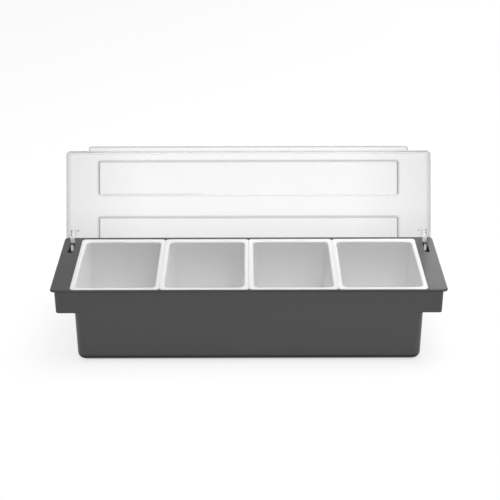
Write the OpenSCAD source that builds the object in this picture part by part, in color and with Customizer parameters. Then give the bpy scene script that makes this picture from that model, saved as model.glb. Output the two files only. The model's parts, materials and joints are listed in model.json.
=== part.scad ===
// Bar condiment caddy: a moulded tray with hollow end grips carries four lift-out inserts
// under one clear flip lid, which swings back on two gooseneck arms through slots in the
// end ledges. Modelled with the lid open, +Z up, origin at the middle of the base.

/* [Tray] */
// Overall width of the rim, end to end
tray_w = 480; // [440:1:540]
// Overall depth of the rim, front to back
tray_d = 157; // [147:1:190]
// Height of the rim's top face above the table
tray_h = 100; // [92:1:130]
// Wall thickness of the tray
wall = 2.2; // [1.8:0.1:2.4]
// Thickness of the tray's floor
floor_t = 2.6; // [2:0.1:4]
// Mould draft of the tray's walls, in degrees
tray_draft = 1.05; // [0.5:0.05:1.3]
// Plan radius of the tub's upright corners
tub_corner_r = 11.4; // [11.4:0.1:13]
// Radius along the tub's bottom edges
base_edge_r = 9; // [6:0.5:9]

/* [Rim and grips] */
// Thickness of the rim flange
rim_t = 3.4; // [3.3:0.1:4.5]
// How far the rim stands out beyond the walls under it
rim_overhang = 4.3; // [3.5:0.1:4.5]
// Plan radius of the rim's corners
rim_corner_r = 5; // [4:0.5:8]
// Radius along the rim's upper and lower edges
rim_edge_r = 1.6; // [0.5:0.1:1.6]
// How far each end grip stands out from the tub
grip_reach = 22; // [21.5:0.1:22.6]
// Height of the end grips, from the rim's top face
grip_h = 34; // [33:0.5:42]
// Plan radius of the grips' upright corners
grip_corner_r = 4.2; // [3.5:0.1:6]
// Radius along the grips' lower edges
grip_edge_r = 1.6; // [1:0.1:2]

/* [Insert seat] */
// Width of each end ledge, from the rim's edge to the inserts' seat
ledge_w = 23.5; // [23.4:0.1:26]
// Width of the lip left in front of the inserts
seat_front = 0.9; // [0.8:0.1:1.2]
// Width of the rim strip left behind the inserts
seat_rear = 6.2; // [6:0.1:6.6]
// Depth of the step that the inserts' flanges sit in
seat_depth = 1.8; // [1.4:0.1:2.2]
// Width of the seat's ledge under the flanges, at each end
seat_end = 3.2; // [2.6:0.1:3.4]
// Height of the tub's end bays, which widen it between the grips for the outer inserts
bay_h = 32; // [28:0.5:32.5]

/* [Inserts] */
// Number of inserts side by side
insert_count = 4; // [3:1:4]
// Depth of an insert from its flange's top face to its underside
insert_h = 88; // [70:1:88]
// Wall thickness of an insert
insert_wall = 1.2; // [1:0.1:1.4]
// Width of the flange at each side, from its outer edge to the inside of the wall
flange_side = 5.6; // [5.4:0.1:7]
// Width of the flange along the front
flange_front = 6.7; // [6.7:0.1:8]
// Width of the flange along the rear
flange_rear = 8.2; // [6.7:0.1:9]
// Plan radius of the flange's corners
flange_corner_r = 4.8; // [3:0.1:6]
// Radius along the flange's top outer edge
flange_edge_r = 0.2; // [0.2:0.1:0.8]
// Radius that the flange turns down into the pocket with
flange_roll_r = 2; // [1.6:0.1:2.6]
// Plan radius of the pocket's upright corners, inside
pocket_corner_r = 6.4; // [6.4:0.1:10]
// Radius along the pocket's bottom edges, inside
pocket_floor_r = 1.6; // [1:0.1:1.6]
// Mould draft of the pocket's walls, in degrees
insert_draft = 3; // [2.7:0.1:3.1]
// Space between the flanges of neighbouring inserts
flange_gap = 0.2; // [0.2:0.1:0.6]
// Space between the flanges and the edge of their seat
flange_clear = 0.35; // [0.2:0.05:0.6]
// Space under the flanges, so that they never bind in the seat
seat_clear = 0.1; // [0.05:0.05:0.2]

/* [Lid] */
// Height of the lid from the edge of its skirt to its top face
lid_h = 14; // [12:0.5:18]
// Thickness of the clear lid
lid_t = 2; // [1.6:0.1:2.4]
// Mould draft of the lid's skirt, in degrees
lid_draft = 7; // [4:0.5:8]
// Plan radius of the skirt's corners at its free edge
lid_corner_r = 6; // [5:0.5:8]
// Radius along the lid's top edges
lid_edge_r = 2.2; // [2:0.1:2.6]
// Radius along the lid's inside edges
lid_inner_r = 0.5; // [0.3:0.1:1]
// Space between the rim's edge and the skirt's edge, at each end
lid_inset = 0.2; // [0:0.1:1]
// Space under the skirt with the lid shut
lid_gap = 0.3; // [0.2:0.1:0.6]
// Reach of the finger lip along the lid's front
lip_reach = 6; // [4:0.5:9]
// Distance from each end of the lid to the end of the finger lip
lip_end = 30; // [20:1:60]
// Thickness of the finger lip
lip_t = 2; // [1.6:0.1:2.4]
// Plan radius of the finger lip's corners
lip_corner_r = 2.5; // [1:0.5:3]
// Radius along the finger lip's edges
lip_edge_r = 0.7; // [0.3:0.1:0.7]
// Angle from the shut lid to the open lid, in degrees
lid_open = 114.4; // [100:0.2:116]
// Space that the lid keeps from the rim's rear edge and the rear wall as it swings
swing_clear = 0.5; // [0.4:0.1:1]

/* [Raised panels] */
// Height that the panels stand above the lid
panel_rise = 6; // [3:0.5:8]
// Distance from the lid's ends to the panels
panel_end = 40; // [36:0.5:50]
// Distance from the lid's front edge to the front panel
panel_front = 12; // [8:0.5:14]
// Length of each panel, front to back
panel_d = 46; // [40:0.5:48]
// Space between the two panels
panel_gap = 28.5; // [20:0.5:30]
// Slope of the panels' walls from upright, in degrees
panel_slope = 22.5; // [10:0.5:30]
// Plan radius of the panels' corners
panel_corner_r = 4; // [4:0.5:7]
// Radius along the panels' upper edges
panel_edge_r = 0.4; // [0.3:0.1:1]

/* [Hinge] */
// Distance of the pivot in front of the rim's rear edge
pivot_back = 15.4; // [15:0.1:16]
// Distance of the pivot below the rim's top face
pivot_drop = 17; // [16.5:0.1:18]
// Distance from the rim's end to the middle of each arm
arm_inset = 11.9; // [11.5:0.1:12.5]
// Width of the arm across its flange
arm_w = 5.6; // [5:0.1:6]
// Thickness of the arm's web
web_t = 2.6; // [2:0.1:3]
// Radius of the gooseneck's outside about the pivot
neck_r = 31.6; // [30:0.1:32]
// Depth of the gooseneck's bent bar
neck_t = 7.6; // [6.5:0.1:7.6]
// Thickness of the flange along the outside of the arm
arm_flange_t = 1.6; // [1.2:0.1:2]
// Width of the arm between the gooseneck and the pivot
spoke_w = 4.2; // [3.4:0.1:5]
// Width of the arm's foot under the lid
foot_w = 7.6; // [7:0.1:9]
// Height of the arm's foot above the skirt's free edge
foot_rise = 1.2; // [0.8:0.1:2]
// Radius of the hub at the pivot
hub_r = 4.4; // [4:0.1:4.8]
// Radius of the stub that the lid turns on
stub_r = 2.4; // [2:0.1:2.8]
// Running clearance round the stub
stub_clear = 0.06; // [0.04:0.01:0.1]
// Depth that the stub's end lies inside the grip's face
stub_recess = 0.3; // [0.2:0.1:0.6]
// Space between the arm's web and the boss beside it
side_clear = 0.4; // [0.3:0.1:0.6]
// Space round the arm in its slot, at the sides
slot_side = 0.4; // [0.3:0.1:0.8]
// Space between the open arm and the rear end of its slot
stop_clear = 0.3; // [0.2:0.05:0.6]
// Space between the shut arm and the front end of its slot
slot_front = 1.4; // [0.8:0.1:2]
// Plan radius of the slots' corners
slot_corner_r = 1; // [0.5:0.1:1.5]
// Wall round the bore of the hinge boss
boss_wall = 2.6; // [2:0.1:3]

/* [Hidden] */
$fn = 48;
// Overshoot of a cutter beyond the face it cuts
cut = 1;
// Rim edges and the slope of the tray's walls
rim_back = tray_d / 2;
rim_side = tray_w / 2;
slope = tan(tray_draft);
// Half sizes of the tub and grips at the level of the rim's top face
tub_x = rim_side - rim_overhang - grip_reach;
grip_x = rim_side - rim_overhang;
wall_y = rim_back - rim_overhang;
// Seat of the inserts
seat_w = tray_w - 2 * ledge_w;
seat_d = tray_d - seat_front - seat_rear;
seat_y = (seat_front - seat_rear) / 2;
seat_r = flange_corner_r + flange_clear;
bay_x = seat_w / 2 - seat_end;
bay_z = tray_h - bay_h;
rim_mid = tray_h - rim_t / 2;
// Inserts
pitch = (seat_w - 2 * flange_clear + flange_gap) / insert_count;
insert_w = pitch - flange_gap;
insert_d = seat_d - 2 * flange_clear;
flange_t = seat_depth - seat_clear;
insert_slope = tan(insert_draft);
pocket_shift = (flange_front - flange_rear) / 2;
// Lid, shut
lid_z = tray_h + lid_gap;
lid_w = tray_w - 2 * lid_inset;
lid_d = tray_d - lip_reach;
lid_y = lip_reach / 2;
lid_slope = tan(lid_draft);
panel_w = lid_w - 2 * panel_end;
panel_front_y = lid_y - lid_d / 2 + panel_front;
panel_lean = tan(panel_slope);
// Hinge
pivot_y = rim_back - pivot_back;
pivot_z = tray_h - pivot_drop;
grip_face_x = grip_x - pivot_drop * slope;
spoke_angle = 90 + lid_open;
arm_x = rim_side - arm_inset;
web_x = arm_x + arm_w / 2 - web_t;
boss_x = web_x + web_t + side_clear;
bore_r = stub_r + stub_clear;
arm_top = lid_z + lid_h - lid_t / 2 - pivot_z;
slot_w = arm_w + 2 * slot_side;
slot_rear_y = pivot_y + spoke_w / 2 + stop_clear;
slot_front_y = pivot_y - neck_r - slot_front;
// The skirt's rear edge and the tray's rear wall, both behind the pivot, and how much of the
// skirt is trimmed off so that the open lid stands clear of that wall
skirt_edge = [pivot_back, pivot_drop + lid_gap];
wall_back = pivot_back - rim_overhang - pivot_drop * slope;
skirt_trim = (wall_back + swing_clear - skirt_edge * [cos(lid_open), sin(lid_open)])
    / (sin(lid_open) - cos(lid_open) * lid_slope);
// The trimmed skirt also has to pass the rim's rear edge as it swings
swing_r = max(
    norm([pivot_back, pivot_drop]) + swing_clear,
    norm(skirt_edge + skirt_trim * [-lid_slope, 1])
);

// Rectangle with round corners, centred
module round_rect(w, d, r) {
    square([w - 2 * r, d], center = true);
    square([w, d - 2 * r], center = true);
    for (x = [-1, 1], y = [-1, 1])
        translate([x * (w / 2 - r), y * (d / 2 - r)]) circle(r);
}

// Block w by d whose sides follow the half profile given as its child. The profile runs
// from the axis of an upright corner, x = 0, out to the side face, at x = r.
module moulded_block(w, d, r, h) {
    core_w = w - 2 * r;
    core_d = d - 2 * r;
    translate([-core_w / 2, -core_d / 2, 0]) cube([core_w, core_d, h]);
    for (end = [0, 1], side = [0, 1])
        mirror([end, 0, 0])
            mirror([0, side, 0])
                translate([core_w / 2, core_d / 2, 0])
                    rotate_extrude(angle = 90) children();
    for (side = [0, 1])
        mirror([0, side, 0])
            translate([-core_w / 2, core_d / 2, 0])
                rotate([90, 0, 90]) linear_extrude(core_w) children();
    for (end = [0, 1])
        mirror([end, 0, 0])
            translate([core_w / 2, core_d / 2, 0])
                rotate([90, 0, 0]) linear_extrude(core_d) children();
}

// Half profile of a drafted wall, r at height h, with its bottom edge rounded to edge_r
module drafted_profile(r, h, lean, edge_r) {
    angle = atan(lean);
    foot = r - h * lean;
    centre_x = foot + edge_r * lean - edge_r / cos(angle);
    polygon([
        [0, 0],
        [centre_x, 0],
        [centre_x + edge_r * cos(angle), edge_r - edge_r * sin(angle)],
        [r, h],
        [0, h]
    ]);
    intersection() {
        translate([centre_x, edge_r]) circle(edge_r);
        square([r, 2 * edge_r]);
    }
}

// Half profile of a plate t thick with both edges rounded to edge_r
module plate_profile(r, t, edge_r) {
    square([r - edge_r, t]);
    translate([0, edge_r]) square([r, t - 2 * edge_r]);
    for (z = [edge_r, t - edge_r])
        translate([r - edge_r, z]) circle(edge_r);
}

// Moulded form from z0 to z1 whose half sizes x and y and corner radius r hold at the
// level of the rim's top face, narrowing downwards by lean
module drafted_form(x, y, r, z0, z1, lean, edge_r) {
    shrink = (tray_h - z1) * lean;
    h = z1 - z0;
    translate([0, 0, z0])
        moulded_block(2 * (x - shrink), 2 * (y - shrink), r - shrink, h)
            drafted_profile(r - shrink, h, lean, edge_r);
}

// The tub's outside, or its inside when shrunk by t
module tub_form(t, z0, z1) {
    drafted_form(tub_x - t, wall_y - t, tub_corner_r - t, z0, z1, slope, base_edge_r - t);
}

// The outside of both grips as one bar, or their inside when shrunk by t
module grip_form(t, z0, z1, edge_r) {
    drafted_form(grip_x - t, wall_y - t, grip_corner_r - t, z0, z1, slope, edge_r);
}

// Rim flange with its edges rounded
module rim_plate() {
    translate([0, 0, tray_h - rim_t])
        moulded_block(tray_w, tray_d, rim_corner_r, rim_t)
            plate_profile(rim_corner_r, rim_t, rim_edge_r);
}

// Hollows under the end ledges, open at the bottom, with the bays' end walls between them
module grip_hollows() {
    bay_w = 2 * (bay_x + wall);
    difference() {
        grip_form(wall, tray_h - grip_h - cut, tray_h - rim_t, cut / 2);
        translate([-bay_w / 2, -rim_back, 0]) cube([bay_w, tray_d, tray_h]);
    }
}

// Inside of the bays, which widen the tub at both ends between the grips
module end_bays() {
    translate([0, 0, bay_z])
        linear_extrude(bay_h - seat_depth / 2)
            round_rect(2 * bay_x, 2 * (wall_y - wall), pocket_corner_r);
}

// Bosses inside the grips' end walls that the lid's stubs turn in
module hinge_bosses() {
    boss_l = grip_face_x - wall / 2 - boss_x;
    for (end = [0, 1])
        mirror([end, 0, 0])
            translate([boss_x, pivot_y, pivot_z])
                rotate([0, 90, 0]) cylinder(r = bore_r + boss_wall, h = boss_l);
}

// Bores for the lid's stubs, and the slots in the ledges that its arms swing in
module hinge_cuts() {
    slot_d = slot_rear_y - slot_front_y;
    bore_l = grip_face_x - boss_x + 2 * cut;
    for (end = [0, 1])
        mirror([end, 0, 0]) {
            translate([boss_x - cut, pivot_y, pivot_z])
                rotate([0, 90, 0]) cylinder(r = bore_r, h = bore_l);
            translate([arm_x, slot_front_y + slot_d / 2, tray_h - rim_t - cut])
                linear_extrude(rim_t + 2 * cut) round_rect(slot_w, slot_d, slot_corner_r);
        }
}

// Step that the inserts' flanges lie in, flush with the ledges
module insert_seat() {
    translate([0, seat_y, tray_h - seat_depth])
        linear_extrude(seat_depth + cut) round_rect(seat_w, seat_d, seat_r);
}

module tray() {
    color("#4b4b4c")
        difference() {
            union() {
                difference() {
                    union() {
                        tub_form(0, 0, rim_mid);
                        grip_form(0, tray_h - grip_h, rim_mid, grip_edge_r);
                    }
                    grip_hollows();
                }
                rim_plate();
                hinge_bosses();
            }
            tub_form(wall, floor_t, tray_h - seat_depth / 2);
            end_bays();
            insert_seat();
            hinge_cuts();
        }
}

// Half profile of the cutter that rolls the flange's inner edge down into the pocket
module roll_profile(r) {
    difference() {
        square([r + flange_roll_r, flange_roll_r + cut]);
        translate([r + flange_roll_r, 0]) circle(flange_roll_r);
    }
}

// One lift-out insert: a drafted pocket hung from a flat flange
module insert(index) {
    pocket_x = insert_w / 2 - flange_side;
    pocket_y = (insert_d - flange_front - flange_rear) / 2;
    roll_sink = flange_roll_r * insert_slope;
    base_z = tray_h - insert_h;
    color("#f2f2f1")
        translate([(index - (insert_count + 1) / 2) * pitch, seat_y + pocket_shift, 0])
            difference() {
                union() {
                    translate([0, -pocket_shift, tray_h - flange_t])
                        moulded_block(insert_w, insert_d, flange_corner_r, flange_t)
                            plate_profile(flange_corner_r, flange_t, flange_edge_r);
                    drafted_form(
                        pocket_x + insert_wall, pocket_y + insert_wall, pocket_corner_r + insert_wall,
                        base_z, tray_h - flange_t / 2, insert_slope, pocket_floor_r + insert_wall
                    );
                }
                drafted_form(
                    pocket_x, pocket_y, pocket_corner_r,
                    base_z + insert_wall, tray_h + cut, insert_slope, pocket_floor_r
                );
                translate([0, 0, tray_h - flange_roll_r])
                    moulded_block(
                        2 * (pocket_x - roll_sink + flange_roll_r),
                        2 * (pocket_y - roll_sink + flange_roll_r),
                        pocket_corner_r - roll_sink + flange_roll_r,
                        flange_roll_r + cut
                    )
                        roll_profile(pocket_corner_r - roll_sink);
            }
}

module insert_1() { insert(1); }
module insert_2() { insert(2); }
module insert_3() { insert(3); }
module insert_4() { insert(4); }

// Half profile of a cover that widens downwards from h, r at the bottom, with its top edge
// rounded to edge_r
module cover_profile(r, h, lean, edge_r) {
    translate([0, h]) mirror([0, 1]) drafted_profile(r, h, lean, edge_r);
}

// Shell of the lid, shut: a shallow cover with a sloped skirt all round
module lid_shell() {
    inner_r = lid_corner_r - lid_t + cut * lid_slope;
    inner_h = lid_h - lid_t + cut;
    flare = 2 * cut * lid_slope;
    translate([0, lid_y, lid_z])
        difference() {
            moulded_block(lid_w, lid_d, lid_corner_r, lid_h)
                cover_profile(lid_corner_r, lid_h, lid_slope, lid_edge_r);
            translate([0, 0, -cut])
                moulded_block(lid_w - 2 * lid_t + flare, lid_d - 2 * lid_t + flare, inner_r, inner_h)
                    cover_profile(inner_r, inner_h, lid_slope, lid_inner_r);
        }
}

// One raised panel between two heights of the lid, grown outwards by grow; panel 1 is in front
module panel_block(number, grow, z0, z1) {
    widen = grow + (lid_h - lid_t - z0) * panel_lean;
    panel_y = panel_front_y + panel_d / 2 + (number - 1) * (panel_d + panel_gap);
    translate([0, panel_y, lid_z + z0])
        moulded_block(panel_w + 2 * widen, panel_d + 2 * widen, panel_corner_r + widen, z1 - z0)
            cover_profile(panel_corner_r + widen, z1 - z0, panel_lean, panel_edge_r);
}

// Flat lip along the lid's front edge, for the fingers
module finger_lip() {
    lip_w = lid_w - 2 * lip_end;
    lip_d = lip_reach + lid_t;
    translate([0, lid_y - lid_d / 2 - lip_reach + lip_d / 2, lid_z])
        moulded_block(lip_w, lip_d, lip_corner_r, lip_t)
            plate_profile(lip_corner_r, lip_t, lip_edge_r);
}

// Side view of one arm about its pivot, with the lid shut: y to the rear, z up. The bar
// goes down from the lid, round the front of the pivot and along a spoke to the hub.
module arm_outline(bar_t) {
    translate([-neck_r, 0]) square([bar_t, arm_top]);
    intersection() {
        difference() {
            circle(neck_r);
            circle(neck_r - bar_t);
        }
        translate([-2 * neck_r, -2 * neck_r])
            square([2 * neck_r, 2 * neck_r + cut]);
        rotate(spoke_angle)
            translate([0, -2 * neck_r]) square([2 * neck_r, 2 * neck_r + spoke_w / 2]);
    }
}

// Spoke from the gooseneck to the hub, and the hub
module spoke_outline() {
    rotate(spoke_angle) translate([0, -spoke_w / 2]) square([neck_r - neck_t / 2, spoke_w]);
    circle(hub_r);
}

// Continuation of the arm's flange down the front of the spoke, as far as the ledge
module spoke_flange_outline() {
    flange_l = neck_r - arm_flange_t - pivot_drop;
    rotate(spoke_angle)
        translate([pivot_drop, spoke_w / 2 - arm_flange_t]) square([flange_l, arm_flange_t]);
}

// One arm with its stub, at the right-hand end of the shut lid
module hinge_arm() {
    foot_h = lid_h - lid_t / 2 - foot_rise;
    stub_root = web_x + web_t / 2;
    translate([web_x, pivot_y, pivot_z])
        rotate([90, 0, 90])
            linear_extrude(web_t) {
                arm_outline(neck_t);
                spoke_outline();
            }
    translate([arm_x - arm_w / 2, pivot_y, pivot_z])
        rotate([90, 0, 90])
            linear_extrude(arm_w) {
                arm_outline(arm_flange_t);
                spoke_flange_outline();
            }
    translate([arm_x, pivot_y - neck_r + arm_flange_t, lid_z + foot_rise])
        rotate([90, 0, 0])
            linear_extrude(arm_flange_t)
                polygon([[-arm_w / 2, 0], [arm_w / 2, 0], [foot_w / 2, foot_h], [-foot_w / 2, foot_h]]);
    translate([stub_root, pivot_y, pivot_z])
        rotate([0, 90, 0]) cylinder(r = stub_r, h = grip_face_x - stub_recess - stub_root);
}

// The whole lid in its shut position
module lid_shut() {
    difference() {
        union() {
            lid_shell();
            for (number = [1, 2])
                panel_block(number, lid_t / cos(panel_slope), lid_h - lid_t / 2, lid_h + panel_rise);
            finger_lip();
        }
        for (number = [1, 2])
            panel_block(number, 0, lid_h - lid_t - cut, lid_h - lid_t + panel_rise);
        translate([-tray_w / 2, pivot_y, pivot_z])
            rotate([0, 90, 0]) cylinder(r = swing_r, h = tray_w);
    }
    for (end = [0, 1])
        mirror([end, 0, 0]) hinge_arm();
}

module lid() {
    color([0.93, 0.95, 0.96, 0.4])
        translate([0, pivot_y, pivot_z])
            rotate([-lid_open, 0, 0])
                translate([0, -pivot_y, -pivot_z]) lid_shut();
}

tray();
insert_1();
insert_2();
insert_3();
insert_4();
lid();
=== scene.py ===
# Bar condiment caddy with its flip lid standing open: a textured dark tray, four white
# lift-out inserts and a clear moulded lid, on a pale studio floor. Lengths are in metres.
import math

import bpy
from mathutils import Matrix, Vector
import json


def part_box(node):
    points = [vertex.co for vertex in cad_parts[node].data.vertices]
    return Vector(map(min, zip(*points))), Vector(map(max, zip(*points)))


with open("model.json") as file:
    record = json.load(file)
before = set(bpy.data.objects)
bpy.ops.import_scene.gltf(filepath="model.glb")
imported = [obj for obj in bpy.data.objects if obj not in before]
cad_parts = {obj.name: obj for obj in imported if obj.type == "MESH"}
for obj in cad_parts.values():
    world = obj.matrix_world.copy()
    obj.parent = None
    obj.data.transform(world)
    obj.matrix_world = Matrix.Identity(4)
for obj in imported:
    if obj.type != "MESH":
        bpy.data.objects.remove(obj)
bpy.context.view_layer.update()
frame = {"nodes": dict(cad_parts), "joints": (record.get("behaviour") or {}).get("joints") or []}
scene = bpy.context.scene


# ---------------------------------------------------------------------------------------
# Tray. One injection moulding in dark grey ABS, with hollow end grips under its ledges.
# The mould was spark-eroded, so every outside face has the same fine satin grain.

tray_lowest, tray_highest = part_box("tray")
TRAY_GREY = "#4a4a4a"
TRAY_GREY_RUBBED_AND_HIGHLIT = "#585859"
TRAY_PAINTED_SHADE_GREY = "#0a0a0b"
ABS_IOR = 1.54
TRAY_ROUGHNESS = 0.38
SHADED_ROUGHNESS = 0.4
# Handling leaves patches this wide that are a little smoother or rougher
HANDLING_SPAN = 0.055
HANDLING_SWING = 0.03
# The real grain is too fine to show, so it is drawn ten times as coarse and very shallow
ERODED_GRAIN = 0.00011
GRAIN_COARSENING = 10
GRAIN_DEPTH = 0.0001
GRAIN_STRENGTH = 0.12
# Noise keeps to this middle part of its range
NOISE_SPAN = (0.3, 0.7)
# Edges get the tray's rubbed wear with its painted highlight, and the lid's painted edge
# shade, where the true and the rounded normal are less alike than the first value, and
# not at all above the second
TRAY_EDGE_RADIUS = 0.0011
EDGE_LIGHT_LIKENESS = (0.8, 0.995)
BEVEL_SAMPLES = 6
# Painted shade goes on faces that look down: a face looks down where its normal's upward
# part is below the first value, and not at all above the second
LOOKS_DOWN = (-0.35, -0.06)
# The hollow under each hinge slot, which gets painted shade: its middle, its half sizes
# inside the grip's walls, and the depths below the deck where its painted shade is full
# and where it starts
HOLLOW_INSET = 0.0125
HOLLOW_MIDDLE = (tray_highest.x - HOLLOW_INSET, 0.0, 0.0)
HOLLOW_HALF = (0.0062, 0.0722, 1.0)
HOLLOW_MARGIN = 0.0003
HOLLOW_DEPTHS = (0.0085, 0.0015)


def linear(hex_colour):
    """An sRGB hex colour as the linear RGBA that a shader socket takes."""
    channels = [int(hex_colour[i : i + 2], 16) / 255 for i in (1, 3, 5)]
    return [c / 12.92 if c <= 0.04045 else ((c + 0.055) / 1.055) ** 2.4 for c in channels] + [1]


def add_node(tree, kind, sources=(), stops=(), **settings):
    """Adds a shader node with its settings. sources feed its inputs, in their order or by
    name or number: values, outputs, or nodes, each of which stands for its first output in
    use. A Map Range's inputs are value, from low, from high, to low, to high. stops are a
    colour ramp's places and colours."""
    node = tree.nodes.new(kind)
    for name, value in settings.items():
        setattr(node, name, value)
    inputs = sources.items() if isinstance(sources, dict) else enumerate(sources)
    for key, source in inputs:
        if isinstance(source, bpy.types.Node):
            source = next(output for output in source.outputs if output.enabled)
        if isinstance(source, bpy.types.NodeSocket):
            tree.links.new(source, node.inputs[key])
        else:
            node.inputs[key].default_value = source
    for number, (place, colour) in enumerate(stops):
        elements = node.color_ramp.elements
        element = elements[number] if number < len(elements) else elements.new(place)
        element.position = place
        element.color = colour
    return node


def bare_material(name):
    """A new material with an empty node tree."""
    material = bpy.data.materials.new(name)
    material.use_nodes = True
    material.node_tree.nodes.clear()
    return material


def grain(tree, size, detail=2.0):
    """Noise whose grains are size across, fixed to the piece."""
    place = add_node(tree, "ShaderNodeTexCoord").outputs["Object"]
    sources = {"Vector": place, "Scale": 1 / size, "Detail": detail}
    return add_node(tree, "ShaderNodeTexNoise", sources)


def edge_wear_and_painted_light(tree, rounded):
    """1 on sharp edges and in corners, where the rounded normal departs from the true one,
    and 0 on open faces. It places the tray's rubbed wear with its painted highlight, and
    the lid's painted edge shade."""
    true = add_node(tree, "ShaderNodeNewGeometry").outputs["Normal"]
    alike = add_node(tree, "ShaderNodeVectorMath", (rounded, true), operation="DOT_PRODUCT")
    return add_node(tree, "ShaderNodeMapRange", (alike, *EDGE_LIGHT_LIKENESS, 1.0, 0.0))


def looking_down(tree):
    """1 on faces that look down, 0 on upright ones and those that look up: where the tray's
    painted shade goes.
    """
    normal = add_node(tree, "ShaderNodeNewGeometry").outputs["Normal"]
    up = add_node(tree, "ShaderNodeSeparateXYZ", (normal,)).outputs["Z"]
    return add_node(tree, "ShaderNodeMapRange", (up, *LOOKS_DOWN, 1.0, 0.0))


def beyond_box(tree, place, half):
    """The distance beyond a box of half sizes half about the origin, 0 inside it."""
    folded = add_node(tree, "ShaderNodeVectorMath", (place,), operation="ABSOLUTE")
    beyond = add_node(tree, "ShaderNodeVectorMath", (folded, half), operation="SUBTRACT")
    origin = (0.0, 0.0, 0.0)
    outside = add_node(tree, "ShaderNodeVectorMath", (beyond, origin), operation="MAXIMUM")
    return add_node(tree, "ShaderNodeVectorMath", (outside,), operation="LENGTH")


def slot_hollow(tree):
    """1 deep in the hollows that the hinge slots open into, 0 at the deck and outside: where
    the tray's painted shade goes.
    """
    place = add_node(tree, "ShaderNodeTexCoord").outputs["Object"]
    height = add_node(tree, "ShaderNodeSeparateXYZ", (place,)).outputs["Z"]
    deep_range = [tray_highest.z - depth for depth in HOLLOW_DEPTHS]
    deep = add_node(tree, "ShaderNodeMapRange", (height, *deep_range, 1.0, 0.0))
    folded = add_node(tree, "ShaderNodeVectorMath", (place,), operation="ABSOLUTE")
    shift = (folded, HOLLOW_MIDDLE)
    from_middle = add_node(tree, "ShaderNodeVectorMath", shift, operation="SUBTRACT")
    beyond = beyond_box(tree, from_middle, HOLLOW_HALF)
    inside = add_node(tree, "ShaderNodeMapRange", (beyond, 0.0, HOLLOW_MARGIN, 1.0, 0.0))
    return add_node(tree, "ShaderNodeMath", (inside, deep), operation="MULTIPLY")


def textured_abs():
    """Spark-eroded ABS: an even satin that mirrors nothing sharply, varied a little by
    handling, and paler where hands and the bar top have rubbed its edges, a paleness that
    is partly a painted highlight. Faces that look down and the slots' hollows are painted
    near black as painted shade, and are duller."""
    material = bare_material("abs_spark_eroded_dark_grey")
    tree = material.node_tree
    rounded = add_node(tree, "ShaderNodeBevel", {"Radius": TRAY_EDGE_RADIUS}, samples=BEVEL_SAMPLES)
    # Rubbed wear on edges and in corners, which is partly a painted highlight along the edges
    wear_and_highlight = {0: edge_wear_and_painted_light(tree, rounded), 6: linear(TRAY_GREY), 7: linear(TRAY_GREY_RUBBED_AND_HIGHLIT)}
    rubbed_and_highlit = add_node(tree, "ShaderNodeMix", wear_and_highlight, data_type="RGBA")
    # Painted shade: faces that look down and the slots' hollows turn near black and duller
    dark_places = (looking_down(tree), slot_hollow(tree))
    painted_shade = add_node(tree, "ShaderNodeMath", dark_places, operation="MAXIMUM")
    shades = {0: painted_shade, 6: rubbed_and_highlit, 7: linear(TRAY_PAINTED_SHADE_GREY)}
    colour = add_node(tree, "ShaderNodeMix", shades, data_type="RGBA")
    handled = grain(tree, HANDLING_SPAN, detail=3.0)
    satin_range = (TRAY_ROUGHNESS - HANDLING_SWING, TRAY_ROUGHNESS + HANDLING_SWING)
    satin = add_node(tree, "ShaderNodeMapRange", (handled, *NOISE_SPAN, *satin_range))
    dull = add_node(tree, "ShaderNodeMapRange", (painted_shade, 0.0, 1.0, 0.0, SHADED_ROUGHNESS))
    roughness = add_node(tree, "ShaderNodeMath", (satin, dull), operation="ADD")
    eroded = grain(tree, ERODED_GRAIN * GRAIN_COARSENING)
    pits = {"Strength": GRAIN_STRENGTH, "Distance": GRAIN_DEPTH, "Height": eroded}
    surface = add_node(
        tree,
        "ShaderNodeBsdfPrincipled",
        {
            "Base Color": colour,
            "Roughness": roughness,
            "IOR": ABS_IOR,
            "Normal": add_node(tree, "ShaderNodeBump", pits),
        },
    )
    add_node(tree, "ShaderNodeOutputMaterial", {"Surface": surface})
    return material


def finish_node(node, material):
    """Gives a CAD node its material."""
    piece = frame["nodes"][node]
    piece.data.materials.clear()
    piece.data.materials.append(material)


finish_node("tray", textured_abs())


# ---------------------------------------------------------------------------------------
# Inserts. Four like pots injection moulded in white polypropylene, hung by their flanges
# in the tray's seat. The mould is polished, so they are smooth with a soft gloss.

INSERT_WHITE = "#f7f7f7"
PP_IOR = 1.49
INSERT_ROUGHNESS = 0.34
INSERT_SWING = 0.02
# Sink waves: how long they are and how deep
SINK_WAVE = 0.009
SINK_DEPTH = 0.0002
SINK_STRENGTH = 0.08


def polished_polypropylene():
    """Polypropylene from a polished mould: milky white, a soft gloss, and the faint long
    waves that it sinks into as it cools."""
    material = bare_material("polypropylene_moulded_white")
    tree = material.node_tree
    sink = grain(tree, SINK_WAVE)
    gloss_range = (INSERT_ROUGHNESS - INSERT_SWING, INSERT_ROUGHNESS + INSERT_SWING)
    waves = {"Strength": SINK_STRENGTH, "Distance": SINK_DEPTH, "Height": sink}
    surface = add_node(
        tree,
        "ShaderNodeBsdfPrincipled",
        {
            "Base Color": linear(INSERT_WHITE),
            "Roughness": add_node(tree, "ShaderNodeMapRange", (sink, *NOISE_SPAN, *gloss_range)),
            "IOR": PP_IOR,
            "Normal": add_node(tree, "ShaderNodeBump", waves),
        },
    )
    add_node(tree, "ShaderNodeOutputMaterial", {"Surface": surface})
    return material


insert_material = polished_polypropylene()
for number in (1, 2, 3, 4):
    finish_node(f"insert_{number}", insert_material)


# ---------------------------------------------------------------------------------------
# Lid. One clear polycarbonate moulding, a shallow cover with two raised panels, a finger lip
# and two gooseneck arms, whose stubs snap into the tray's grips. The mould is polished, so
# only the lid's edges, walls and arms catch the eye.

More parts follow.
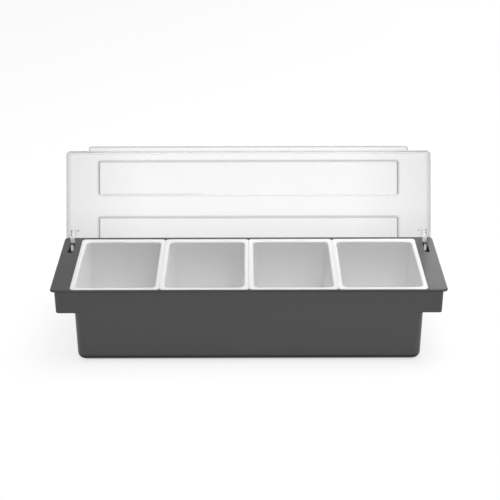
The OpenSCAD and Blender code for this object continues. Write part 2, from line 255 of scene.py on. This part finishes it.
lid_hinge = next(joint for joint in frame["joints"] if joint["name"] == "lid_hinge")
LID_PIVOT = lid_hinge["pos_m"]
LID_OPEN = math.radians(-lid_hinge["range_deg"][0])
LID_HALF_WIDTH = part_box("lid")[1].x
# The cover's outward and forward directions as the lid stands open
LID_OUTWARD = (0.0, math.sin(LID_OPEN), math.cos(LID_OPEN))
LID_FORWARD = (0.0, -math.cos(LID_OPEN), math.sin(LID_OPEN))
POLYCARBONATE_IOR = 1.586
LID_ROUGHNESS = 0.03
LID_ABSORBED = "#dbdddd"
LID_ABSORPTION = 9.0
# The painted shade at shares of the width END_SHADE, up to each end of the lid
END_SHADE = 0.1
END_PAINTED_SHADES = ((0.0, "#ffffff"), (0.5, "#f7f7f7"), (0.96, "#efefef"), (0.98, "#dedede"))
# Painted shade along the lid's edges and in its corners
EDGE_PAINTED_SHADE = "#eaebeb"
EDGE_RADIUS = 0.0012
# Waves that the melt left as it filled the mould: how long they are and how deep
FLOW_WAVE = 0.035
FLOW_DEPTH = 0.0005
FLOW_STRENGTH = 0.03
# What is left of light that passes a wall on its way to what the lid shades
SHADOW_TINT = "#f2f2f2"

# Finger lip: how far forward of the pivot its front edge and its root are, how far out its
# ends are, and the width of the band along them that gets painted shade
LIP_DEPTH = 0.0056
LIP_INSET = 0.03
LIP_FRONT = LID_PIVOT[1] - tray_lowest.y
LIP_ROOT = LIP_FRONT - LIP_DEPTH
LIP_END = LID_HALF_WIDTH - LIP_INSET
LIP_BAND = 0.001
LIP_PAINTED_SHADE = "#c4c5c5"

# Raised panels: the heights over the pivot, with the lid shut, where their walls start and
# where their inner edges do
PANEL_FOOT = (0.0312, 0.0316)
PANEL_EDGE = (0.033, 0.034)
# The outward part of a normal on inner faces, and on outer ones
INNER_FACE = (-0.05, 0.05)
# The forward part of a normal inside the front walls, and elsewhere
FRONT_WALL = (-0.6, -0.3)
# The sideways part of a normal off the end walls, and on them
END_WALL = (0.3, 0.6)
# The outward or inward part of a normal on walls, and on level faces
SLOPED_WALL = (0.8, 0.97)
# Painted shade on the panels' walls: its grey, its share on all of them, and inside the front wall
PANEL_WALL_PAINTED_SHADE = "#8c8d8d"
PANEL_WALL_SHARE = 0.18
PANEL_FRONT_SHARE = 0.35
# How far a wall's normal leans towards the cover's in the shading, for its rounded foot
PANEL_WALL_EASE = 1.8

# Arms: the distances from the pivot's axis where each finish starts, is full, is still full
# and ends. Outward from the stub they are the spoke in its slot, and the bar, whose root
# passes the tray's rim and whose neck meets the cover.
SPOKE_SPAN = (0.005, 0.006, 0.0125, 0.0145)
# The spoke's painted glow, an emission of this strength
SPOKE_PAINTED_GLOW = 0.22
ROOT_SPAN = (0.0165, 0.0175, 0.0235, 0.0245)
ROOT_CLARITY = 0.2
BAR_SPAN = (0.0165, 0.0175, 0.0315, 0.0335)
# The bar's painted glow, an emission of this strength
BAR_PAINTED_GLOW = 0.12
NECK_SPAN = (0.0235, 0.0255, 0.0315, 0.0335)
# Painted shade on the necks' side faces: where it starts and is full, and how deep it gets
NECK_SIDE = (0.6, 0.8)
NECK_SIDE_SHARE = 0.3
NECK_EASE = 3.0
ARM_END = (0.0315, 0.0335)
ARM_ROUGHNESS = 0.08
ARM_CLARITY = 0.95


def from_pivot(tree):
    """The place on the lid, taken from the middle of its pivot's axis."""
    place = add_node(tree, "ShaderNodeTexCoord").outputs["Object"]
    return add_node(tree, "ShaderNodeVectorMath", (place, LID_PIVOT), operation="SUBTRACT")


def part_sideways(tree, vector):
    """How far a place or a normal reaches towards either end of the lid."""
    side = add_node(tree, "ShaderNodeSeparateXYZ", (vector,)).outputs["X"]
    return add_node(tree, "ShaderNodeMath", (side,), operation="ABSOLUTE")


def from_axis(tree):
    """The distance from the pivot's axis."""
    across = (from_pivot(tree), (0.0, 1.0, 1.0))
    flat = add_node(tree, "ShaderNodeVectorMath", across, operation="MULTIPLY")
    return add_node(tree, "ShaderNodeVectorMath", (flat,), operation="LENGTH")


def within(tree, distance, span):
    """1 between the middle two of span's four values, 0 before the first and after the
    last."""
    rise = add_node(tree, "ShaderNodeMapRange", (distance, *span[:2]))
    fall = add_node(tree, "ShaderNodeMapRange", (distance, *span[2:], 1.0, 0.0))
    return add_node(tree, "ShaderNodeMath", (rise, fall), operation="MULTIPLY")


def end_painted_shade(tree):
    """The lid's painted shade, which greys it towards both ends of its width."""
    place = add_node(tree, "ShaderNodeTexCoord").outputs["Object"]
    shade_range = (LID_HALF_WIDTH - END_SHADE, LID_HALF_WIDTH)
    share = add_node(tree, "ShaderNodeMapRange", (part_sideways(tree, place), *shade_range))
    painted_shades = [(at, linear(painted_grey)) for at, painted_grey in END_PAINTED_SHADES]
    return add_node(tree, "ShaderNodeValToRGB", (share,), stops=painted_shades)


def lip_edge(tree):
    """1 along the finger lip's outer edges, where painted shade goes, 0 elsewhere."""
    place = from_pivot(tree)
    forward = add_node(tree, "ShaderNodeVectorMath", (place, LID_FORWARD), operation="DOT_PRODUCT")
    edges = []
    for reach, limit in ((forward, LIP_FRONT), (part_sideways(tree, place), LIP_END)):
        band = (limit - 2 * LIP_BAND, limit - LIP_BAND)
        edges.append(add_node(tree, "ShaderNodeMapRange", (reach, *band)))
    edge = add_node(tree, "ShaderNodeMath", edges, operation="MAXIMUM")
    on_lip = add_node(tree, "ShaderNodeMath", (forward, LIP_ROOT), operation="GREATER_THAN")
    return add_node(tree, "ShaderNodeMath", (edge, on_lip), operation="MULTIPLY")


def panel_walls(tree, height, normal):
    """How deep the painted shade is on the raised panels' walls: faint outside, deeper inside
    along the front wall, deepest inside where the end walls meet the panel, 0 elsewhere."""
    outward = add_node(tree, "ShaderNodeVectorMath", (normal, LID_OUTWARD), operation="DOT_PRODUCT")
    inside = add_node(tree, "ShaderNodeMapRange", (outward, *INNER_FACE, 1.0, 0.0))
    forward = add_node(tree, "ShaderNodeVectorMath", (normal, LID_FORWARD), operation="DOT_PRODUCT")
    front = add_node(tree, "ShaderNodeMapRange", (forward, *FRONT_WALL, PANEL_FRONT_SHARE, 0.0))
    end = add_node(tree, "ShaderNodeMapRange", (part_sideways(tree, normal), *END_WALL))
    edge = add_node(tree, "ShaderNodeMapRange", (height, *PANEL_EDGE))
    end_edge = add_node(tree, "ShaderNodeMath", (end, edge), operation="MULTIPLY")
    lines = add_node(tree, "ShaderNodeMath", (front, end_edge), operation="MAXIMUM")
    inner = add_node(tree, "ShaderNodeMath", (inside, lines), operation="MULTIPLY")
    depth = add_node(tree, "ShaderNodeMath", (inner, PANEL_WALL_SHARE), operation="MAXIMUM")
    level = add_node(tree, "ShaderNodeMath", (outward,), operation="ABSOLUTE")
    sloped = add_node(tree, "ShaderNodeMapRange", (level, *SLOPED_WALL, 1.0, 0.0))
    raised = add_node(tree, "ShaderNodeMapRange", (height, *PANEL_FOOT))
    wall = add_node(tree, "ShaderNodeMath", (sloped, raised), operation="MULTIPLY")
    return add_node(tree, "ShaderNodeMath", (wall, depth), operation="MULTIPLY")


def neck_sides(tree, neck, normal):
    """How deep the painted shade is on the necks' side faces, 0 elsewhere."""
    side_range = (*NECK_SIDE, 0.0, NECK_SIDE_SHARE)
    side = add_node(tree, "ShaderNodeMapRange", (part_sideways(tree, normal), *side_range))
    return add_node(tree, "ShaderNodeMath", (side, neck), operation="MULTIPLY")


def eased_normal(tree, normal, share):
    """The normal leant towards the cover's own by share, as on a wall whose foot is rounded
    into the cover."""
    outward = add_node(tree, "ShaderNodeVectorMath", (normal, LID_OUTWARD), operation="DOT_PRODUCT")
    side = add_node(tree, "ShaderNodeMath", (outward,), operation="SIGN")
    lean = add_node(tree, "ShaderNodeMath", (side, share), operation="MULTIPLY")
    scaled = {0: LID_OUTWARD, "Scale": lean}
    shift = add_node(tree, "ShaderNodeVectorMath", scaled, operation="SCALE")
    leant = add_node(tree, "ShaderNodeVectorMath", (normal, shift), operation="ADD")
    return add_node(tree, "ShaderNodeVectorMath", (leant,), operation="NORMALIZE")


def clear_polycarbonate():
    """Clear polycarbonate, polished both sides: it shows what is behind it almost
    untouched, and greys with painted shade at its edges, round the lip, on the walls that
    the eye looks along and towards the lid's ends. The arms are a little less smooth and
    their roots are milky, and a painted glow lights them, standing in for the light that
    clear plastic gathers and lets out at its edges. Light passes to what lies under the lid
    as through a plain pane."""
    material = bare_material("polycarbonate_moulded_clear")
    tree = material.node_tree
    rounded = add_node(tree, "ShaderNodeBevel", {"Radius": EDGE_RADIUS}, samples=BEVEL_SAMPLES)
    place = from_pivot(tree)
    height = add_node(tree, "ShaderNodeVectorMath", (place, LID_OUTWARD), operation="DOT_PRODUCT")
    reach = from_axis(tree)
    neck = within(tree, reach, NECK_SPAN)

    # The form that the light sees: rounded edges and feet, and the mould's faint flow waves
    wall_ease = add_node(tree, "ShaderNodeMapRange", (height, *PANEL_FOOT, 0.0, PANEL_WALL_EASE))
    neck_ease = add_node(tree, "ShaderNodeMapRange", (neck, 0.0, 1.0, 0.0, NECK_EASE))
    ease = add_node(tree, "ShaderNodeMath", (wall_ease, neck_ease), operation="MAXIMUM")
    relief = add_node(
        tree,
        "ShaderNodeBump",
        {
            "Strength": FLOW_STRENGTH,
            "Distance": FLOW_DEPTH,
            "Height": grain(tree, FLOW_WAVE, detail=1.0),
            "Normal": eased_normal(tree, rounded, ease),
        },
    )

    # The painted shade: grey at the ends, at edges, round the lip and where the eye meets a wall
    walls = (panel_walls(tree, height, rounded), neck_sides(tree, neck, rounded))
    wall = add_node(tree, "ShaderNodeMath", walls, operation="MAXIMUM")
    colour = end_painted_shade(tree)
    for share, painted_grey in (
        (edge_wear_and_painted_light(tree, rounded), EDGE_PAINTED_SHADE),
        (lip_edge(tree), LIP_PAINTED_SHADE),
        (wall, PANEL_WALL_PAINTED_SHADE),
    ):
        painted_shades = {0: share, 6: colour, 7: linear(painted_grey)}
        colour = add_node(tree, "ShaderNodeMix", painted_shades, data_type="RGBA")

    # The arms' finish, from the stubs out to the cover, with a painted glow on spokes and bars
    smoothing = (reach, *ARM_END, ARM_ROUGHNESS, LID_ROUGHNESS)
    root = within(tree, reach, ROOT_SPAN)
    painted_glows = []
    for span, level in ((SPOKE_SPAN, SPOKE_PAINTED_GLOW), (BAR_SPAN, BAR_PAINTED_GLOW)):
        lit = within(tree, reach, span)
        painted_glows.append(add_node(tree, "ShaderNodeMapRange", (lit, 0.0, 1.0, 0.0, level)))

    glass = add_node(
        tree,
        "ShaderNodeBsdfPrincipled",
        {
            "Base Color": colour,
            "Roughness": add_node(tree, "ShaderNodeMapRange", smoothing),
            "IOR": POLYCARBONATE_IOR,
            "Transmission Weight": add_node(
                tree, "ShaderNodeMapRange", (root, 0.0, 1.0, ARM_CLARITY, ROOT_CLARITY)
            ),
            "Emission Strength": add_node(tree, "ShaderNodeMath", painted_glows, operation="MAXIMUM"),
            "Normal": relief,
        },
    )
    pane = add_node(tree, "ShaderNodeBsdfTransparent", {"Color": linear(SHADOW_TINT)})
    shadow = add_node(tree, "ShaderNodeLightPath").outputs["Is Shadow Ray"]
    surface = add_node(tree, "ShaderNodeMixShader", (shadow, glass, pane))
    absorbing = {"Color": linear(LID_ABSORBED), "Density": LID_ABSORPTION}
    body = add_node(tree, "ShaderNodeVolumeAbsorption", absorbing)
    add_node(tree, "ShaderNodeOutputMaterial", {"Surface": surface, "Volume": body})
    return material


finish_node("lid", clear_polycarbonate())


# ---------------------------------------------------------------------------------------
# Studio. A matt white sweep in a dim room, lit by softboxes overhead, behind the right end
# and low in front. The lid mirrors them but isn't seen to bend them. The floor reads white,
# but keeps the soft shadow, and round the caddy's foot it has a painted contact shadow.

FLOOR_SIZE = 12.0
# The floor's white as light finds it, and as the eye does: part lit and part its own
FLOOR_ALBEDO = 0.8
FLOOR_SEEN_ALBEDO = 0.17
FLOOR_OWN_WHITE = 0.88
# The half sizes of the tray's foot, and how much of the floor's own white is left at shares
# of the span beyond it, in a painted contact shadow
FOOT_HALF = (0.2, 0.0635, 1.0)
CONTACT_SPAN = 0.06
CONTACT_LEVELS = ((0.0, 0.0), (0.08, 0.8), (0.15, 0.9), (0.3, 0.96), (0.6, 0.99), (1.0, 1.0))
# Painted shade: through the lid, the sweep is darker close behind the tray and far out at its sides
BEHIND_SPAN = (0.26, 0.42)
BEHIND_LEVEL = 0.81
BESIDE_SPAN = (0.35, 0.8)
BESIDE_LEVEL = 0.6
# The light that the room gives, and how bright it is where it is mirrored or bent, at
# heights of the direction that it comes from
ROOM_WHITE = "#ffffff"
ROOM_LEVEL = 0.17
SWEEP_LEVELS = ((0.0, 0.8), (0.25, 0.6), (0.45, 0.48), (0.7, 0.4))
# Each softbox's watts, its width and height, its place and the place that it faces
SOFTBOXES = {
    "softbox_overhead": (17.5, (1.2, 1.0), (0.25, 0.1, 1.5), (0.0, 0.0, 0.0)),
    "softbox_rear_right": (8.5, (1.2, 0.9), (1.0, 1.9, 0.95), (0.1, 0.0, 0.1)),
    "softbox_front_low": (3.0, (0.9, 0.2), (0.1, -1.6, 0.12), (0.05, 0.0, 0.06)),
}


def greys(levels):
    """A colour ramp's stops for places and plain grey levels."""
    return [(at, (level, level, level, 1.0)) for at, level in levels]


def seen_directly(tree):
    """1 for camera, glossy and transmission rays, 0 for the rays that only carry light."""
    rays = add_node(tree, "ShaderNodeLightPath").outputs
    direct = (rays["Is Camera Ray"], rays["Is Glossy Ray"])
    mirrored = add_node(tree, "ShaderNodeMath", direct, operation="MAXIMUM")
    either = (mirrored, rays["Is Transmission Ray"])
    return add_node(tree, "ShaderNodeMath", either, operation="MAXIMUM")


def painted_contact_shadow(tree):
    """A painted contact shadow: how much of the floor's own white is left, from none under the
    foot to all of it a hand's breadth away, as where two surfaces meet."""
    ground = add_node(tree, "ShaderNodeNewGeometry").outputs["Position"]
    beyond = beyond_box(tree, ground, FOOT_HALF)
    share = add_node(tree, "ShaderNodeMapRange", (beyond, 0.0, CONTACT_SPAN))
    return add_node(tree, "ShaderNodeValToRGB", (share,), stops=greys(CONTACT_LEVELS))


def studio_floor():
    """Matt white sweep. Seen directly, most of its white is its own and the rest is lit,
    so that the shadow under the caddy stays as faint as it is in a bright studio. Round the
    caddy's foot its own white fades in a painted contact shadow, and seen through the lid it
    is darker behind the tray and far out at its sides, as painted shade."""
    material = bare_material("studio_sweep_matt_white")
    tree = material.node_tree
    seen = seen_directly(tree)
    white_range = (0.0, 1.0, FLOOR_ALBEDO, FLOOR_SEEN_ALBEDO)
    white = add_node(tree, "ShaderNodeMapRange", (seen, *white_range))
    lit = add_node(tree, "ShaderNodeBsdfDiffuse", {"Color": white})
    own_white = add_node(tree, "ShaderNodeMath", (seen, FLOOR_OWN_WHITE), operation="MULTIPLY")
    ground = add_node(tree, "ShaderNodeNewGeometry").outputs["Position"]
    axes = add_node(tree, "ShaderNodeSeparateXYZ", (ground,)).outputs
    # Painted shade on the sweep, seen only through the lid
    behind = add_node(tree, "ShaderNodeMapRange", (axes["Y"], *BEHIND_SPAN, BEHIND_LEVEL, 1.0))
    sideways = add_node(tree, "ShaderNodeMath", (axes["X"],), operation="ABSOLUTE")
    beside = add_node(tree, "ShaderNodeMapRange", (sideways, *BESIDE_SPAN, 1.0, BESIDE_LEVEL))
    dimmed = add_node(tree, "ShaderNodeMath", (behind, beside), operation="MULTIPLY")
    bent = add_node(tree, "ShaderNodeLightPath").outputs["Is Transmission Ray"]
    shade = add_node(tree, "ShaderNodeMix", {0: bent, 2: 1.0, 3: dimmed})
    strength = add_node(tree, "ShaderNodeMath", (own_white, shade), operation="MULTIPLY")
    glow = {"Color": painted_contact_shadow(tree), "Strength": strength}
    own = add_node(tree, "ShaderNodeEmission", glow)
    both = add_node(tree, "ShaderNodeAddShader", (lit, own))
    add_node(tree, "ShaderNodeOutputMaterial", {"Surface": both})
    return material


bpy.ops.mesh.primitive_plane_add(size=FLOOR_SIZE)
floor = bpy.context.object
floor.name = "studio_floor"
floor.data.materials.append(studio_floor())


def studio_room():
    """The room round the set: white where it is seen directly, dim to the rays that only
    carry light. What the caddy mirrors or bends is the sweep's white low down, and the dim
    room higher up."""
    world = bpy.data.worlds.new("studio_room")
    world.use_nodes = True
    world.node_tree.nodes.clear()
    tree = world.node_tree
    rays = add_node(tree, "ShaderNodeLightPath").outputs
    either = (rays["Is Glossy Ray"], rays["Is Transmission Ray"])
    bounced = add_node(tree, "ShaderNodeMath", either, operation="MAXIMUM")
    direction = add_node(tree, "ShaderNodeTexCoord").outputs["Generated"]
    up = add_node(tree, "ShaderNodeSeparateXYZ", (direction,)).outputs["Z"]
    sweep = add_node(tree, "ShaderNodeValToRGB", (up,), stops=greys(SWEEP_LEVELS))
    level = add_node(tree, "ShaderNodeMix", {0: bounced, 2: ROOM_LEVEL, 3: sweep})
    seen_white = (level, rays["Is Camera Ray"])
    strength = add_node(tree, "ShaderNodeMath", seen_white, operation="MAXIMUM")
    walls = {"Color": linear(ROOM_WHITE), "Strength": strength}
    background = add_node(tree, "ShaderNodeBackground", walls)
    add_node(tree, "ShaderNodeOutputWorld", {"Surface": background})
    return world


scene.world = studio_room()

for name, (watts, (width, height), place, faces) in SOFTBOXES.items():
    lamp = bpy.data.lights.new(name, "AREA")
    lamp.shape = "RECTANGLE"
    lamp.size = width
    lamp.size_y = height
    lamp.energy = watts
    softbox = bpy.data.objects.new(name, lamp)
    softbox.location = place
    softbox.rotation_mode = "QUATERNION"
    softbox.rotation_quaternion = (Vector(faces) - Vector(place)).to_track_quat("-Z", "Y")
    softbox.visible_transmission = False
    scene.collection.objects.link(softbox)


# ---------------------------------------------------------------------------------------
# Camera. A long lens from the front, a little above the caddy, so that the ledges and the
# inserts' inside show while the walls stay nearly upright.

LENS_MM = 96.09
SENSOR_MM = 36.0
CAMERA_PLACE = (-0.00177, -1.51904, 0.80723)
CAMERA_DOWN = math.radians(24.435)
CAMERA_TURN = math.radians(-0.125)
CAMERA_ROLL = math.radians(-0.081)

camera_data = bpy.data.cameras.new("camera")
camera_data.sensor_width = SENSOR_MM
camera_data.lens = LENS_MM
camera = bpy.data.objects.new("camera", camera_data)
camera.matrix_world = (
    Matrix.Translation(CAMERA_PLACE)
    @ Matrix.Rotation(CAMERA_TURN, 4, "Z")
    @ Matrix.Rotation(math.radians(90) - CAMERA_DOWN, 4, "X")
    @ Matrix.Rotation(CAMERA_ROLL, 4, "Z")
)
scene.collection.objects.link(camera)
scene.camera = camera
scene.view_settings.view_transform = "Standard"
